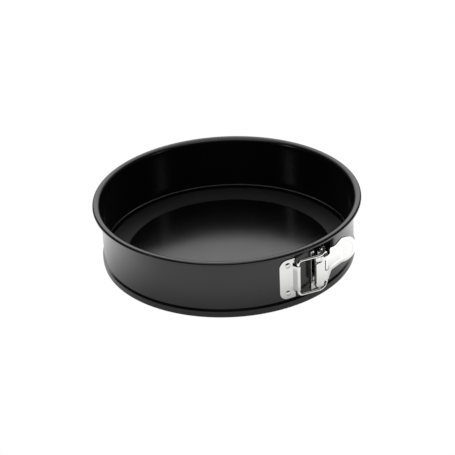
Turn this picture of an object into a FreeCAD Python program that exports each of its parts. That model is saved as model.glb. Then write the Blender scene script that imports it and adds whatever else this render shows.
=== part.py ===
"""Springform pan: a loose base plate, a split band with a bead that holds it, and a wire-bail clasp.

Frame: millimetres, +Z up, origin on the pan's axis in the plane it stands on.
The band's seam and its clasp are at -Y, and +X is to the right for someone who faces the clasp.
"""
import FreeCAD
import Part
import math
import os

V = FreeCAD.Vector

# ---- driving dimensions: pan ----
INNER_RADIUS = 130.0          # band, inside: the nominal 26 cm
HEIGHT = 65.0                 # overall, table to top of the rim
BAND_SHEET = 0.5
FLARE_RADIUS = 5.25           # bend from the wall out to the rim
FLANGE = 0.8                  # flat ring between the flare and the rolled edge
ROLL_RADIUS = 2.2             # rolled edge, outside
BEAD_DEPTH = 1.6              # how far the bead stands out of the wall
BEAD_TOP = 6.3
BEAD_BOTTOM = 1.6
BEAD_BEND = 0.9               # bend radii of the bead and of the shoulder over it
SHOULDER_BEND = 1.2
SHOULDER_TOP = 8.9            # where the wall begins above the bead
LIP = 0.4                     # how far the bottom edge turns back in

BASE_SHEET = 0.6
BASE_FIT = 0.3                # base rim to the band's bottom lip
BASE_BORDER = 22.0            # from the band's inside to the crease round the flat centre
BASE_RING_WIDTH = 19.5        # sloping ring between the centre and the rim
BASE_RISE = 4.0               # rim above the centre
BASE_HEM = 2.8                # turned-down edge of the base
BASE_BEND = 2.0               # bend radii of the creases and of the hem
HEM_BEND = 0.6

SEAM_GAP = 2.0                # open slit between the two ends of the wall
RIM_GAP = 0.3                 # the same at the rim and the bead, where the ends nearly meet
SLIT_BOTTOM = 12.7
SLIT_TOP = 55.8
TAIL_REACH = 7.0              # overlap tail of the left end, past the seam
TAIL_ROOT = 4.0               # how far the tail is joined to its own wall
TAIL_PLAY = 0.1
TAIL_EDGE = 1.0               # tail to the bead below and the flare above

# ---- driving dimensions: clasp ----
CLASP_MIDDLE = 32.0           # height of the clasp's middle line
PIVOT_X, PIVOT_STAND = 4.9, 4.3      # lever's axis, and the room between the wall and its pin
HOOK_X, HOOK_STAND = 17.2, 4.9       # bail's far leg, behind the lever
STRIKE_X, STRIKE_STAND = -16.8, 3.0  # bail's near leg, in the strike plate's tongue
WIRE_RADIUS = 1.45
BAIL_HEIGHT = 38.4            # between the middles of the two runs
BOW_X, BOW_STAND = 7.0, 9.1          # where each run bends
BAIL_BOW_RADIUS = 9.0
BAIL_NEAR_CORNER = 4.0
BAIL_FAR_CORNER = 5.5
RUNNING_FIT = 0.05            # radial play of a pin or a wire in a rolled knuckle

PIN_RADIUS = 1.2
LEVER_SHEET = 1.2
BRACKET_SHEET = 0.8
STRIKE_SHEET = 0.8
PLATE_FIT = 0.05              # strike plate and bracket to the wall they are riveted on
HINGE_PLAY = 0.25             # lever plate to the bracket's knuckle
KNUCKLE_HEIGHT = 21.6         # bracket's knuckle
EAR_HEIGHT = 5.4
EAR_PLAY = 0.5                # between ears and knuckle, along the pin
EAR_REACH = 5.6               # from the pivot to where an ear ends in the plate
EAR_STEP = 2.2                # length over which an ear steps out to the plate
EAR_ROOT = 3.4                # from the pivot to the plate's edge beside the upper ear

STRIKE_HEIGHT = 43.6
CLASP_RADIUS = 131.35         # circle on which the clasp's angles are measured
STRIKE_LEFT = -15.2           # degrees round that circle from the seam
STRIKE_RIGHT = -8.6
STRIKE_HORN = -7.8            # tips above and below the tongue
STRIKE_CORNER = 8.0
HORN_HEIGHT = 7.0
TONGUE_HEIGHT = 27.5
TONGUE_SLOPE = 70.0           # degrees outwards from the wall
TONGUE_ROOT = 3.0             # length of tongue that lies in the plate
BRACKET_HEIGHT = 43.0
BRACKET_LEFT = 1.3
BRACKET_BEND = 17.2           # where the hairpin begins to turn back
BRACKET_TURN = 1.25           # radius of the hairpin's bend
BRACKET_FLAT = 3.2            # length of outer leaf that runs beside the wall
BRACKET_EASE = 5.0            # radius of the gentle bends in the outer leaf
BRACKET_CUT_STAND = 1.7       # how near the wall that cut goes
LEAF_NARROW = 6.8             # width over which the outer leaf is as low as the knuckle

RIVET_SHANK = 1.3
RIVET_HEAD = 3.0
RIVET_HEAD_HEIGHT = 0.9
RIVET_TAIL = 2.2
RIVET_TAIL_HEIGHT = 0.5
STRIKE_RIVET_ANGLE = -11.4
STRIKE_RIVET_PITCH = 31.2
BRACKET_RIVET_ANGLE = 5.1
BRACKET_RIVET_PITCH = 26.0

LEVER_LEFT = 3.7              # plate's left edge, left of the pivot
LEVER_DROP = 12.0             # plate's lower edge, below the clasp's middle
LEVER_RAISE = 15.0            # plate's upper edge between the bail's runs, above the middle
SHOULDER_X = 20.4             # past the bail's far leg the plate widens
SHOULDER_RAISE = 21.2
NECK_X = 30.0                 # where the neck is narrowest
NECK_RAISE = 17.8
NECK_DROP = 4.9
NECK_FOOT = 22.0              # where the lower edge turns down behind the bail
FOOT_X = 17.0
LEVER_BEND = 15.5             # x where the neck turns in along the wall
LEVER_BEND_RADIUS = 8.0
NECK_TURN = 21.0              # degrees
NECK_LENGTH = 30.0            # along the sheet
GRIP_TURN = 30.0              # degrees, back outwards
GRIP_LENGTH = 17.2            # along the sheet
GRIP_RADIUS = 13.8
GRIP_CREST = 17.3             # from the grip's tip to where its edges level out
GRIP_RAISE = 5.8              # grip's middle, above the clasp's middle
LANCE_X = 12.7                # J-shaped slit in the plate
LANCE_WIDTH = 0.8
LANCE_TOP = 11.0              # above the clasp's middle
LANCE_BOTTOM = -0.8
LANCE_REACH = 4.6
LANCE_BEND = 1.6
LANCE_TURN_UP = 3.0

# ---- sizes worked out from those ----
OUTER_RADIUS = INNER_RADIUS + BAND_SHEET
BASE_WELL_RADIUS = INNER_RADIUS - BASE_BORDER
PIVOT = V(PIVOT_X, -(OUTER_RADIUS + PIVOT_STAND + PIN_RADIUS), 0)
HOOK = V(HOOK_X, -(OUTER_RADIUS + HOOK_STAND), 0)
STRIKE = V(STRIKE_X, -(OUTER_RADIUS + STRIKE_STAND), 0)
BAIL_BOW = V(BOW_X, -(OUTER_RADIUS + BOW_STAND), 0)
BRACKET_CUT = -(OUTER_RADIUS + BRACKET_CUT_STAND)
PRISM_FRONT = -OUTER_RADIUS - 30
PRISM_DEPTH = 50.0
WALL_MIDDLE = INNER_RADIUS + BAND_SHEET / 2
EAR_MIDDLE = PIN_RADIUS + RUNNING_FIT + LEVER_SHEET / 2
KNUCKLE_MIDDLE = PIN_RADIUS + RUNNING_FIT + BRACKET_SHEET / 2
TONGUE_MIDDLE = WIRE_RADIUS + RUNNING_FIT + STRIKE_SHEET / 2
PLATE_OFFSET = KNUCKLE_MIDDLE + BRACKET_SHEET / 2 + HINGE_PLAY + LEVER_SHEET / 2
PIN_HEIGHT = KNUCKLE_HEIGHT + 2 * (EAR_PLAY + EAR_HEIGHT)


def ribbon(path, thickness):
    """Face of a sheet seen edge-on: path is its middle line, as (x, y, bend radius) points."""
    points = [V(x, y, 0) for x, y, _ in path]
    half = thickness / 2
    sides = {half: [], -half: []}
    ends = {half: [], -half: []}
    for side in sides:
        heading = (points[1] - points[0]).normalize()
        at = points[0] + V(-heading.y, heading.x, 0) * side
        ends[side].append(at)
        for i in range(1, len(points) - 1):
            leaving = (points[i + 1] - points[i]).normalize()
            turn = math.atan2(heading.cross(leaving).z, heading.dot(leaving))
            left = 1 if turn > 0 else -1
            radius = path[i][2]
            setback = radius * math.tan(abs(turn) / 2)
            centre = points[i] - heading * setback + V(-heading.y, heading.x, 0) * (radius * left)
            reach = radius - left * side
            start = centre - V(-heading.y, heading.x, 0) * (reach * left)
            finish = centre - V(-leaving.y, leaving.x, 0) * (reach * left)
            middle = centre + (points[i] - centre).normalize() * reach
            if (start - at).Length > 1e-4:
                sides[side].append(Part.makeLine(at, start))
            else:
                start = at
            sides[side].append(Part.Arc(start, middle, finish).toShape())
            at, heading = finish, leaving
        last = points[-1] + V(-heading.y, heading.x, 0) * side
        sides[side].append(Part.makeLine(at, last))
        ends[side].append(last)
    caps = [Part.makeLine(ends[half][k], ends[-half][k]) for k in (0, 1)]
    edges = Part.__sortEdges__(sides[half] + sides[-half] + caps)
    return Part.Face(Part.Wire(edges))


def outline(corners):
    """Prism, along Y through the clasp, of a front view given as (x, height, corner radius) points."""
    points = [V(x, PRISM_FRONT, z) for x, z, _ in corners]
    edges = []
    joints = []
    for i, corner in enumerate(points):
        arriving = (corner - points[i - 1]).normalize()
        leaving = (points[(i + 1) % len(points)] - corner).normalize()
        radius = corners[i][2]
        turn = math.acos(max(-1.0, min(1.0, arriving.dot(leaving))))
        setback = radius * math.tan(turn / 2)
        start, finish = corner - arriving * setback, corner + leaving * setback
        if radius > 0:
            inward = (leaving - arriving).normalize()
            middle = corner + inward * (radius / math.cos(turn / 2) - radius)
            edges.append(Part.Arc(start, middle, finish).toShape())
        joints.append((start, finish))
    for i, (start, _) in enumerate(joints):
        edges.append(Part.makeLine(joints[i - 1][1], start))
    face = Part.Face(Part.Wire(Part.__sortEdges__(edges)))
    return face.extrude(V(0, PRISM_DEPTH, 0))


def curl(centre, radius, tail):
    """Points that wrap a ribbon anticlockwise round centre, from below to just past the top."""
    right, top = centre.x + radius, centre.y + radius
    return [(right, centre.y - radius, radius), (right, top, radius), (centre.x - tail, top, 0)]


def turned(profile):
    """Stand a profile drawn as (radius, height) up in the XZ plane."""
    shape = profile.copy()
    shape.rotate(V(0, 0, 0), V(1, 0, 0), 90)
    return shape


def around(face, start, finish):
    """Sweep an upright profile round the pan's axis, between angles counted from the seam."""
    profile = face.copy()
    profile.rotate(V(0, 0, 0), V(0, 0, 1), start - 90)
    return profile.revolve(V(0, 0, 0), V(0, 0, 1), finish - start)


def shell(inside, outside, bottom, top, start, finish):
    """Curved sheet round the pan's axis."""
    corners = [V(inside, 0, bottom), V(outside, 0, bottom), V(outside, 0, top), V(inside, 0, top)]
    return around(Part.Face(Part.makePolygon(corners + corners[:1])), start, finish)


def upright(face, bottom, top):
    """Raise a plan-view face from one height to another."""
    shape = face.copy()
    shape.translate(V(0, 0, bottom))
    return shape.extrude(V(0, 0, top - bottom))


def angle_at(x, radius):
    """Angle round the pan, from the seam, of a point x beside it."""
    return math.degrees(math.asin(x / radius))


def radial(shape, angle, height):
    """Place a piece made along +Y (outwards is -Y) on the wall at an angle and a height."""
    placed = shape.copy()
    placed.rotate(V(0, 0, 0), V(0, 0, 1), angle)
    placed.translate(V(0, 0, height))
    return placed


def cylinder_out(radius, inside, outside):
    """Cylinder along the seam's radial line, between two distances from the pan's axis."""
    return Part.makeCylinder(radius, outside - inside, V(0, -inside, 0), V(0, -1, 0))


# ---- pan ----

def band_profile():
    """Wall with its bead below, flare and rolled edge above."""
    bead = WALL_MIDDLE + BEAD_DEPTH
    roll = ROLL_RADIUS - BAND_SHEET / 2
    roll_x = WALL_MIDDLE + FLARE_RADIUS + FLANGE
    top = HEIGHT - BAND_SHEET / 2
    path = [(bead - LIP, 0, 0), (bead - LIP, BEAD_BOTTOM / 3, BEAD_BEND),
            (bead, BEAD_BOTTOM, BEAD_BEND), (bead, BEAD_TOP, BEAD_BEND),
            (WALL_MIDDLE, SHOULDER_TOP, SHOULDER_BEND),
            (WALL_MIDDLE, top, FLARE_RADIUS), (roll_x + roll, top, roll),
            (roll_x + roll, top - 2 * roll, roll), (roll_x - roll, top - 2 * roll, roll),
            (roll_x - roll, top - roll / 2, 0)]
    return turned(ribbon(path, BAND_SHEET))


def band_half(side):
    """One half of the band: side is 1 for the right end of the seam and -1 for the left."""
    rim_cut = angle_at(RIM_GAP / 2, INNER_RADIUS)
    slit_cut = angle_at(SEAM_GAP / 2, INNER_RADIUS)
    if side > 0:
        half = around(band_profile(), rim_cut, 180)
    else:
        half = around(band_profile(), -180, -rim_cut)
    slit = shell(INNER_RADIUS - 1, OUTER_RADIUS + 1, SLIT_BOTTOM, SLIT_TOP, -slit_cut, slit_cut)
    return half.cut(slit)


def overlap_tail():
    """Joggled end of the left half, which lies inside the right half's wall."""
    outside = INNER_RADIUS - TAIL_PLAY
    inside = outside - BAND_SHEET
    bottom, top = SHOULDER_TOP + TAIL_EDGE, SLIT_TOP
    root = angle_at(-SEAM_GAP / 2 - TAIL_ROOT, INNER_RADIUS)
    edge = angle_at(-SEAM_GAP / 2, INNER_RADIUS)
    tip = angle_at(TAIL_REACH, INNER_RADIUS)
    leaf = shell(inside, outside, bottom, top, root, tip)
    joggle = shell(inside, WALL_MIDDLE, max(bottom, SLIT_BOTTOM), top, root, edge)
    return leaf.fuse(joggle)


def rivet_hole(angle, height, outside):
    hole = cylinder_out(RIVET_SHANK + PLATE_FIT, INNER_RADIUS - 2, outside)
    return radial(hole, angle, height)


def rivet(angle, height, plate_face):
    """Domed head on a plate, shank through plate and wall, flat tail inside the pan."""
    tail_face = INNER_RADIUS - PLATE_FIT
    shank = cylinder_out(RIVET_SHANK, tail_face - RIVET_TAIL_HEIGHT / 2,
                         plate_face + RIVET_HEAD_HEIGHT / 2)
    tail = cylinder_out(RIVET_TAIL, tail_face - RIVET_TAIL_HEIGHT, tail_face)
    ball = (RIVET_HEAD ** 2 + RIVET_HEAD_HEIGHT ** 2) / (2 * RIVET_HEAD_HEIGHT)
    dome = Part.makeSphere(ball, V(0, -(plate_face + RIVET_HEAD_HEIGHT - ball), 0))
    head = dome.common(cylinder_out(RIVET_HEAD, plate_face + PLATE_FIT, plate_face + RIVET_HEAD_HEIGHT))
    return radial(shank.fuse([tail, head]), angle, height)


def base_plate():
    rim = WALL_MIDDLE + BEAD_DEPTH - LIP - BAND_SHEET / 2 - BASE_FIT - BASE_SHEET / 2
    level = BASE_SHEET / 2
    raised = level + BASE_RISE
    path = [(0, level, 0), (BASE_WELL_RADIUS, level, BASE_BEND),
            (BASE_WELL_RADIUS + BASE_RING_WIDTH, raised, BASE_BEND),
            (rim, raised, HEM_BEND), (rim, raised - BASE_HEM, 0)]
    return turned(ribbon(path, BASE_SHEET)).revolve(V(0, 0, 0), V(0, 0, 1), 360)


# ---- clasp ----

STRIKE_FACE = OUTER_RADIUS + PLATE_FIT + STRIKE_SHEET
BRACKET_FACE = OUTER_RADIUS + PLATE_FIT + BRACKET_SHEET


def seam_distance(angle):
    """Distance from the seam, along X, of an angle on the clasp's circle."""
    return CLASP_RADIUS * math.sin(math.radians(angle))


def angle_on(angle, face):
    """Angle round a face of another radius that is as far from the seam."""
    return math.degrees(math.asin(seam_distance(angle) / face))


STRIKE_END = angle_on(STRIKE_LEFT, STRIKE_FACE)
STRIKE_RIVET = angle_on(STRIKE_RIVET_ANGLE, STRIKE_FACE)
BRACKET_RIVET = angle_on(BRACKET_RIVET_ANGLE, BRACKET_FACE)


def strike_plate():
    """Plate riveted left of the seam, with a tongue rolled round the bail's near leg."""
    half = STRIKE_HEIGHT / 2
    bottom, top = CLASP_MIDDLE - half, CLASP_MIDDLE + half
    left, right, horn = [seam_distance(angle) for angle in (STRIKE_LEFT, STRIKE_RIGHT, STRIKE_HORN)]
    plate = shell(OUTER_RADIUS + PLATE_FIT, STRIKE_FACE, bottom, top, STRIKE_END - 1, 0)
    plate = plate.common(outline([
        (left, bottom, STRIKE_CORNER), (horn, bottom, 0), (horn, bottom + HORN_HEIGHT, 0),
        (right, bottom + HORN_HEIGHT, 0), (right, top - HORN_HEIGHT, 0),
        (horn, top - HORN_HEIGHT, 0), (horn, top, 0), (left, top, STRIKE_CORNER)]))
    slope = math.radians(TONGUE_SLOPE)
    wall_y = -math.sqrt((STRIKE_FACE - STRIKE_SHEET / 2) ** 2 - right ** 2)
    outer_y = STRIKE.y - TONGUE_MIDDLE
    touch = STRIKE + V(-math.sin(slope), -math.cos(slope), 0) * TONGUE_MIDDLE
    foot_x = touch.x - (wall_y - touch.y) / math.tan(slope)
    knee_x = touch.x + (touch.y - outer_y) / math.tan(slope)
    root_x = foot_x - TONGUE_ROOT
    root_y = -math.sqrt((STRIKE_FACE - STRIKE_SHEET / 2) ** 2 - root_x ** 2)
    path = [(root_x, root_y, 0), (foot_x, wall_y, STRIKE_SHEET), (knee_x, outer_y, TONGUE_MIDDLE)]
    path += curl(STRIKE, TONGUE_MIDDLE, STRIKE_SHEET)
    half = TONGUE_HEIGHT / 2
    tongue = upright(ribbon(path, STRIKE_SHEET), CLASP_MIDDLE - half, CLASP_MIDDLE + half)
    wall = shell(INNER_RADIUS - 5, OUTER_RADIUS + PLATE_FIT, 0, HEIGHT, STRIKE_END, 0)
    plate = plate.fuse(tongue.cut(wall))
    for height in rivet_heights(STRIKE_RIVET_PITCH):
        plate = plate.cut(rivet_hole(STRIKE_RIVET, height, STRIKE_FACE + RIVET_HEAD_HEIGHT))
    return plate.removeSplitter()


def rivet_heights(pitch):
    return CLASP_MIDDLE + pitch / 2, CLASP_MIDDLE - pitch / 2


def bracket():
    """Hairpin of sheet riveted right of the seam: its outer leaf ends in the lever's knuckle."""
    wall_radius = BRACKET_FACE - BRACKET_SHEET / 2
    half = BRACKET_HEIGHT / 2
    leaf_end = angle_at(BRACKET_BEND, wall_radius)
    wall_leaf = shell(OUTER_RADIUS + PLATE_FIT, BRACKET_FACE, CLASP_MIDDLE - half,
                      CLASP_MIDDLE + half, angle_at(BRACKET_LEFT, wall_radius), leaf_end)
    slope = math.radians(leaf_end)
    along, outward = V(math.cos(slope), math.sin(slope), 0), V(math.sin(slope), -math.cos(slope), 0)
    start = outward * wall_radius
    corner = start + along * BRACKET_TURN
    far_corner = corner + outward * (2 * BRACKET_TURN)
    leaf = far_corner - along * BRACKET_FLAT
    left, right = PIVOT.x - KNUCKLE_MIDDLE, PIVOT.x + KNUCKLE_MIDDLE
    back, front = PIVOT.y + KNUCKLE_MIDDLE, PIVOT.y - KNUCKLE_MIDDLE
    path = [(start.x, start.y, 0), (corner.x, corner.y, BRACKET_TURN),
            (far_corner.x, far_corner.y, BRACKET_TURN), (leaf.x, leaf.y, BRACKET_EASE),
            (right + BRACKET_SHEET, back, BRACKET_EASE), (left, back, KNUCKLE_MIDDLE),
            (left, front, KNUCKLE_MIDDLE), (right, front, KNUCKLE_MIDDLE),
            (right, PIVOT.y + BRACKET_SHEET / 2, 0)]
    hairpin = upright(ribbon(path, BRACKET_SHEET), CLASP_MIDDLE - half, CLASP_MIDDLE + half)
    knuckle = KNUCKLE_HEIGHT / 2
    for z0, z1 in ((0, CLASP_MIDDLE - knuckle), (CLASP_MIDDLE + knuckle, HEIGHT)):
        hairpin = hairpin.cut(Part.makeBox(LEAF_NARROW, PRISM_DEPTH, z1 - z0,
                                           V(PIVOT.x - EAR_ROOT, BRACKET_CUT - PRISM_DEPTH, z0)))
    shape = wall_leaf.fuse(hairpin)
    for height in rivet_heights(BRACKET_RIVET_PITCH):
        shape = shape.cut(rivet_hole(BRACKET_RIVET, height, BRACKET_FACE + PLATE_FIT))
    return shape.removeSplitter()


def pivot_pin():
    return Part.makeCylinder(PIN_RADIUS, PIN_HEIGHT, PIVOT + V(0, 0, CLASP_MIDDLE - PIN_HEIGHT / 2))


def quarter_bend(leg, run):
    """Quarter circle that starts upright at leg and ends level at run."""
    centre = V(run.x, run.y, leg.z)
    corner = V(leg.x, leg.y, run.z)
    middle = centre + (corner - centre).normalize() * (centre - leg).Length
    return Part.Arc(leg, middle, run).toShape()


def bail_run(up):
    """Middle line of the upper (up = 1) or lower (up = -1) run with its two corner bends."""
    level = V(0, 0, CLASP_MIDDLE + up * BAIL_HEIGHT / 2)
    out = (BAIL_BOW - STRIKE).normalize()
    back = (HOOK - BAIL_BOW).normalize()
    turn = math.atan2(out.cross(back).z, out.dot(back))
    setback = BAIL_BOW_RADIUS * math.tan(turn / 2)
    near = STRIKE + out * BAIL_NEAR_CORNER + level
    far = HOOK - back * BAIL_FAR_CORNER + level
    bow_start, bow_end = BAIL_BOW - out * setback + level, BAIL_BOW + back * setback + level
    centre = bow_start + V(-out.y, out.x, 0) * BAIL_BOW_RADIUS
    bow = centre + (BAIL_BOW + level - centre).normalize() * BAIL_BOW_RADIUS
    near_leg = STRIKE + level - V(0, 0, up * BAIL_NEAR_CORNER)
    far_leg = HOOK + level - V(0, 0, up * BAIL_FAR_CORNER)
    edges = [quarter_bend(near_leg, near), Part.makeLine(near, bow_start),
             Part.Arc(bow_start, bow, bow_end).toShape(), Part.makeLine(bow_end, far),
             quarter_bend(far_leg, far)]
    return near_leg, far_leg, edges


def bail():
    """Closed loop of round wire: two upright legs joined by two bowed runs."""
    near_top, far_top, upper = bail_run(1)
    near_bottom, far_bottom, lower = bail_run(-1)
    edges = upper + lower + [Part.makeLine(near_top, near_bottom), Part.makeLine(far_top, far_bottom)]
    wires = []
    for edge in edges:
        start, heading = edge.valueAt(edge.FirstParameter), edge.tangentAt(edge.FirstParameter)
        section = Part.Wire(Part.makeCircle(WIRE_RADIUS, start, heading))
        wires.append(Part.Wire(edge).makePipeShell([section], True, False))
    return wires[0].multiFuse(wires[1:]).removeSplitter()


def lever_path():
    """Middle line of the lever's plate in plan, from its left edge to the tip of the grip."""
    plate_y = PIVOT.y - PLATE_OFFSET
    neck = math.radians(NECK_TURN)
    grip = math.radians(NECK_TURN - GRIP_TURN)
    bend = V(LEVER_BEND, plate_y, 0)
    knee = bend + V(math.cos(neck), math.sin(neck), 0) * NECK_LENGTH
    tip = knee + V(math.cos(grip), math.sin(grip), 0) * GRIP_LENGTH
    return [(PIVOT.x - LEVER_LEFT, plate_y, 0), (bend.x, bend.y, LEVER_BEND_RADIUS),
            (knee.x, knee.y, LEVER_BEND_RADIUS), (tip.x, tip.y, 0)]


def lever_outline():
    """Front view of the plate, as a prism through it."""
    low, high = CLASP_MIDDLE - LEVER_DROP, CLASP_MIDDLE + LEVER_RAISE
    left, ear = PIVOT.x - LEVER_LEFT, PIVOT.x + EAR_ROOT
    tip = lever_path()[-1][0]
    grip = CLASP_MIDDLE + GRIP_RAISE
    crest = tip - GRIP_CREST
    return outline([
        (left, low, 1.0), (left, CLASP_MIDDLE + KNUCKLE_HEIGHT / 2, 0),
        (ear, CLASP_MIDDLE + KNUCKLE_HEIGHT / 2, 0), (ear, high, 0), (SHOULDER_X, high, 0.6),
        (SHOULDER_X, CLASP_MIDDLE + SHOULDER_RAISE, 1.2), (NECK_X, CLASP_MIDDLE + NECK_RAISE, 16),
        (crest, grip + GRIP_RADIUS, 12), (tip, grip + GRIP_RADIUS, GRIP_RADIUS - 0.05),
        (tip, grip - GRIP_RADIUS, GRIP_RADIUS - 0.05), (crest, grip - GRIP_RADIUS, 16),
        (NECK_FOOT, CLASP_MIDDLE - NECK_DROP, 4), (FOOT_X, low, 3)])


def lance():
    """J-shaped slit, as a prism to take out of the plate."""
    left, right = LANCE_X, LANCE_X + LANCE_REACH
    bottom = CLASP_MIDDLE + LANCE_BOTTOM
    path = [(left, CLASP_MIDDLE + LANCE_TOP, 0), (left, bottom, LANCE_BEND),
            (right, bottom, LANCE_BEND), (right + LANCE_WIDTH, bottom + LANCE_TURN_UP, 0)]
    slit = turned(ribbon(path, LANCE_WIDTH))
    slit.translate(V(0, PRISM_FRONT, 0))
    return slit.extrude(V(0, PRISM_DEPTH, 0))


def lever_ear():
    """Plan of an ear: a curl round the pin that steps out to the plate."""
    plate_y, curl_y = PIVOT.y - PLATE_OFFSET, PIVOT.y - EAR_MIDDLE
    left, right, back = PIVOT.x - EAR_MIDDLE, PIVOT.x + EAR_MIDDLE, PIVOT.y + EAR_MIDDLE
    step = PIVOT.x + EAR_ROOT + LEVER_SHEET / 2
    path = [(PIVOT.x + EAR_REACH, plate_y, 0), (step, plate_y, LEVER_SHEET),
            (step - EAR_STEP, curl_y, LEVER_SHEET), (left, curl_y, EAR_MIDDLE),
            (left, back, EAR_MIDDLE), (right, back, EAR_MIDDLE), (right, PIVOT.y - 0.4, 0)]
    return ribbon(path, LEVER_SHEET)


def lever():
    """Pressed plate with two ears round the pin, a neck that follows the wall and a round grip."""
    plate = upright(ribbon(lever_path(), LEVER_SHEET), 0, HEIGHT).common(lever_outline())
    plate = plate.cut(lance())
    start = KNUCKLE_HEIGHT / 2 + EAR_PLAY
    ears = [upright(lever_ear(), CLASP_MIDDLE + start, CLASP_MIDDLE + start + EAR_HEIGHT),
            upright(lever_ear(), CLASP_MIDDLE - start - EAR_HEIGHT, CLASP_MIDDLE - start)]
    return plate.fuse(ears).removeSplitter()


def main():
    strike_heights = rivet_heights(STRIKE_RIVET_PITCH)
    bracket_heights = rivet_heights(BRACKET_RIVET_PITCH)
    right, left = band_half(1), band_half(-1).fuse(overlap_tail())
    for height in bracket_heights:
        right = right.cut(rivet_hole(BRACKET_RIVET, height, OUTER_RADIUS + 1))
    for height in strike_heights:
        left = left.cut(rivet_hole(STRIKE_RIVET, height, OUTER_RADIUS + 1))
    nodes = {
        "base_plate": base_plate(),
        "band_right": right,
        "band_left": left.removeSplitter(),
        "strike_plate": strike_plate(),
        "bail": bail(),
        "bracket": bracket(),
        "pivot_pin": pivot_pin(),
        "lever": lever(),
    }
    for name, height in zip(("upper", "lower"), strike_heights):
        nodes["strike_rivet_" + name] = rivet(STRIKE_RIVET, height, STRIKE_FACE)
    for name, height in zip(("upper", "lower"), bracket_heights):
        nodes["bracket_rivet_" + name] = rivet(BRACKET_RIVET, height, BRACKET_FACE)
    os.makedirs("parts", exist_ok=True)
    for name, shape in nodes.items():
        if not shape.isValid() or len(shape.Solids) != 1:
            raise ValueError(f"{name}: {len(shape.Solids)} solids, valid {shape.isValid()}")
        shape.exportStep(f"parts/{name}.step")
        print(f"{name:22s} {shape.Volume:10.1f} mm3")


main()
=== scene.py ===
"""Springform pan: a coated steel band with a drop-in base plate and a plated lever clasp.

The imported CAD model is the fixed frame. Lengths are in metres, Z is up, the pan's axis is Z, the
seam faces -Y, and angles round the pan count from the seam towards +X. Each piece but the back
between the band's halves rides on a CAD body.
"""

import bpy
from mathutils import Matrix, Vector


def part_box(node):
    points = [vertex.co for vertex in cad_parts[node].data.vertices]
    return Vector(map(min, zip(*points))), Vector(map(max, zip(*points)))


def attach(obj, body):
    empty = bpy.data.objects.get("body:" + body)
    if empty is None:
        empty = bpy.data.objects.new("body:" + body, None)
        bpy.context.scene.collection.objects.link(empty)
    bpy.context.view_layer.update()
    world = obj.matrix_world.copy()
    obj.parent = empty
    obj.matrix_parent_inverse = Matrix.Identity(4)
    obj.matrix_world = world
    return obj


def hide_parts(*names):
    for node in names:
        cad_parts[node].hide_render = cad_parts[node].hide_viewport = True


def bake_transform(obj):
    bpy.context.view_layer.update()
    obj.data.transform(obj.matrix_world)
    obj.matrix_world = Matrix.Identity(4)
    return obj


bl_info = {
    "name": "Springform Pan",
    "version": (1, 0, 0),
    "blender": (4, 5, 0),
    "location": "3D View > Sidebar > Springform",
    "description": "Shapes and finishes a springform pan over its CAD frame",
    "category": "Object",
}

from math import asin, atan2, ceil, copysign, cos, exp, inf, pi, radians, sin, sqrt, tan

import bmesh
import bpy
from bpy.types import Operator, Panel, PropertyGroup
from mathutils import Matrix, Vector

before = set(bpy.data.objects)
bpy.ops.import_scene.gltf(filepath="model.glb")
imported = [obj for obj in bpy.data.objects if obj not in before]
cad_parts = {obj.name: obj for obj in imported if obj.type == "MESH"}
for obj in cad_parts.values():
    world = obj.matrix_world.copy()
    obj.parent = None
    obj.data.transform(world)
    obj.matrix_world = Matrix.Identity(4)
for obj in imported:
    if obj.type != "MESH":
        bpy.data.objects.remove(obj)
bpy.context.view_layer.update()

MM = 0.001
SMOOTH_ANGLE = radians(35)
EASE_ANGLE = radians(40)  # edges sharper than this are eased
MERGE = 1e-6
REPEAT = 2e-6  # points closer than this count as one
SPIN_STEPS, SPIN_MERGE = 32, 5e-6
PLAY = 0.05 * MM  # clearance of plates that lie on the wall and of sheet round wire


# ---- sheet-metal helpers ----

def bent(path, segments=10):
    """Middle line of a bent sheet along (x, y, bend radius) points. Each bend becomes an arc."""
    points = [Vector(point[:2]) for point in path]
    line = [points[0]]
    for i in range(1, len(points) - 1):
        arriving = (points[i] - points[i - 1]).normalized()
        leaving = (points[i + 1] - points[i]).normalized()
        turn = atan2(arriving.cross(leaving), arriving.dot(leaving))
        radius = path[i][2]
        start = points[i] - arriving * (radius * tan(abs(turn) / 2))
        side = Vector((-arriving.y, arriving.x)) * copysign(radius, turn)
        for k in range(segments + 1):
            line.append(start + side + Matrix.Rotation(turn * k / segments, 2) @ -side)
    line.append(points[-1])
    return thinned(line)


def rounded(corners, segments=10):
    """Closed outline whose corners, as (x, z, radius), are rounded."""
    outline = []
    count = len(corners)
    for i, corner in enumerate(corners):
        around = [corners[i - 1], corner, corners[(i + 1) % count]]
        if corner[2] > 0:
            outline += bent(around, segments)[1:-1]
        else:
            outline.append(Vector(corner[:2]))
    return thinned(outline + outline[:1])[:-1]


def thinned(line):
    """Line without points that repeat the one before."""
    kept = line[:1]
    for point in line[1:]:
        if (point - kept[-1]).length > REPEAT:
            kept.append(point)
    return kept


def divided(line, longest):
    """Line with points added so that no step is longer than a length."""
    points = line[:1]
    for start, end in zip(line, line[1:]):
        steps = max(1, ceil((end - start).length / longest))
        points += [start.lerp(end, k / steps) for k in range(1, steps + 1)]
    return points


def spread(low, high, step):
    """Evenly spaced values between two limits."""
    count = max(1, round((high - low) / step))
    return [low + (high - low) * k / count for k in range(count + 1)]


def chain(name, points, closed=False):
    """Object whose mesh is a line of joined points."""
    mesh = bpy.data.meshes.new(name)
    edges = [(i, i + 1) for i in range(len(points) - 1)]
    if closed:
        edges.append((len(points) - 1, 0))
    mesh.from_pydata([tuple(point) for point in points], edges, [])
    return linked(name, mesh)


def linked(name, mesh):
    piece = bpy.data.objects.new(name, mesh)
    bpy.context.scene.collection.objects.link(piece)
    return piece


def from_bmesh(name, bm):
    mesh = bpy.data.meshes.new(name)
    bm.to_mesh(mesh)
    bm.free()
    return linked(name, mesh)


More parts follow.
